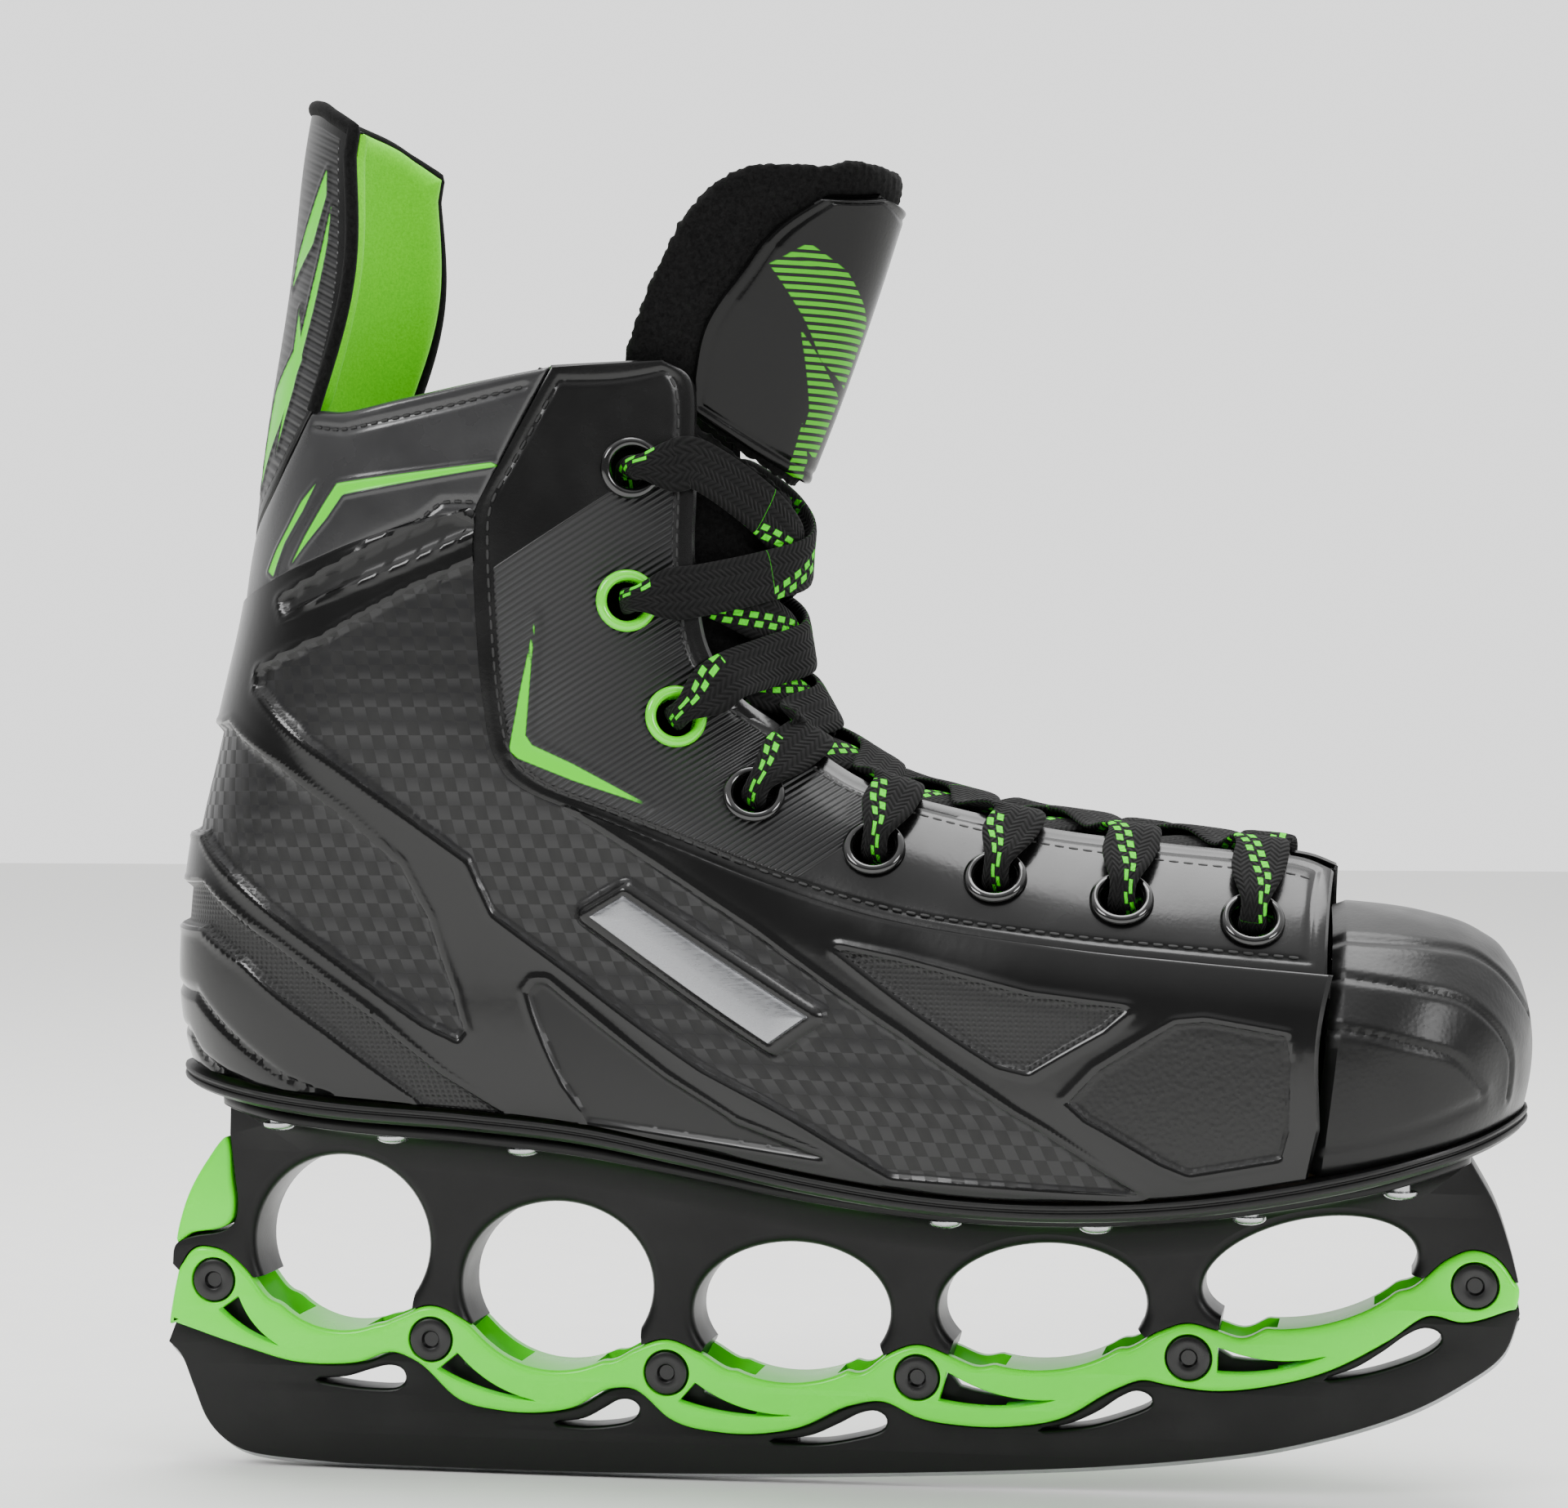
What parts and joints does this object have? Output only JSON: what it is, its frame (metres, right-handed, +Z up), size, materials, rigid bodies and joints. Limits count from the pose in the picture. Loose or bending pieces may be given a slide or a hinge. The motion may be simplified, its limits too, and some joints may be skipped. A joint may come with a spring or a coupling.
{
  "type": "ice hockey skate",
  "caption": "Lace-up ice hockey skate: stiff boot with padded tongue and flexing tendon guard, on an open moulded holder with a bolted steel runner.",
  "frame": {"origin": "bottom centre of the skate's bounding box, on the steel runner's underside", "axes": "+X towards the toe, +Z up, +Y across to the inner side of the foot; the skate is symmetric about the plane y = 0"},
  "size_m": [0.2859, 0.0934, 0.2888],
  "materials": {
    "shell": "thermoformed composite shell, glossy raised frames over a dark woven field",
    "collar_leather": "grey-black patent synthetic leather, stitched borders",
    "facing_leather": "black synthetic leather, ribbed and smooth panels",
    "toe_plastic": "fine-grained moulded toe cap",
    "felt": "thick black tongue felt",
    "tongue_skin": "dark glossy tongue face with green hatching",
    "guard_shell": "black ribbed tendon guard",
    "lining_cloth": "bright green brushed lining",
    "sole": "black moulded outsole",
    "board": "stiff insole board",
    "foam": "fabric-faced foam footbed",
    "holder_nylon": "satin black glass-filled nylon",
    "green_nylon": "neon green moulded band",
    "blade_steel": "ground and polished stainless steel",
    "rivet_steel": "plated domed rivet heads",
    "bolt_black": "black coated bolt heads",
    "eyelet_black": "glossy black enamelled eyelet",
    "eyelet_green": "glossy green enamelled eyelet",
    "lace_cotton": "flat braided black lace with green dashes"
  },
  "bodies": {
    "boot": {"collar_lateral": "collar_leather", "collar_medial": "collar_leather", "eyelet_lateral_1": "eyelet_black", "eyelet_lateral_2": "eyelet_green", "eyelet_lateral_3": "eyelet_green", "eyelet_lateral_4": "eyelet_black", "eyelet_lateral_5": "eyelet_black", "eyelet_lateral_6": "eyelet_black", "eyelet_lateral_7": "eyelet_black", "eyelet_lateral_8": "eyelet_black", "eyelet_medial_1": "eyelet_black", "eyelet_medial_2": "eyelet_green", "eyelet_medial_3": "eyelet_green", "eyelet_medial_4": "eyelet_black", "eyelet_medial_5": "eyelet_black", "eyelet_medial_6": "eyelet_black", "eyelet_medial_7": "eyelet_black", "eyelet_medial_8": "eyelet_black", "facing_lateral": "facing_leather", "facing_medial": "facing_leather", "footbed": "foam", "heel_clip": "green_nylon", "holder": "holder_nylon", "lace": "lace_cotton", "lasting_board": "board", "lining": "lining_cloth", "outsole": "sole", "quarter_lateral": "shell", "quarter_medial": "shell", "rivet_01": "rivet_steel", "rivet_02": "rivet_steel", "rivet_03": "rivet_steel", "rivet_04": "rivet_steel", "rivet_05": "rivet_steel", "rivet_06": "rivet_steel", "rivet_07": "rivet_steel", "rivet_08": "rivet_steel", "rivet_09": "rivet_steel", "rivet_10": "rivet_steel", "rivet_11": "rivet_steel", "rivet_12": "rivet_steel", "rivet_13": "rivet_steel", "rivet_14": "rivet_steel", "runner_bolt_1": "bolt_black", "runner_bolt_2": "bolt_black", "runner_bolt_3": "bolt_black", "runner_bolt_4": "bolt_black", "runner_bolt_5": "bolt_black", "runner_bolt_6": "bolt_black", "runner_carrier": "holder_nylon", "runner_steel": "blade_steel", "stabiliser": "green_nylon", "toe_cap": "toe_plastic", "tongue_lower": "felt"},
    "tongue": {"tongue_upper": "felt", "tongue_face": "tongue_skin"},
    "guard": {"tendon_guard": "guard_shell", "guard_pad": "lining_cloth"}
  },
  "joints": [
    {"name": "tongue_fold", "type": "hinge", "parent": "boot", "child": "tongue", "pos_m": [-0.0056, 0, 0.2067], "axis": [0, 1, 0], "range_deg": [0, 35], "stiffness_Nm_per_rad": 1.5},
    {"name": "tendon_guard_flex", "type": "hinge", "parent": "boot", "child": "guard", "pos_m": [-0.123, 0, 0.1947], "axis": [0, -1, 0], "range_deg": [0, 15], "stiffness_Nm_per_rad": 8}
  ]
}
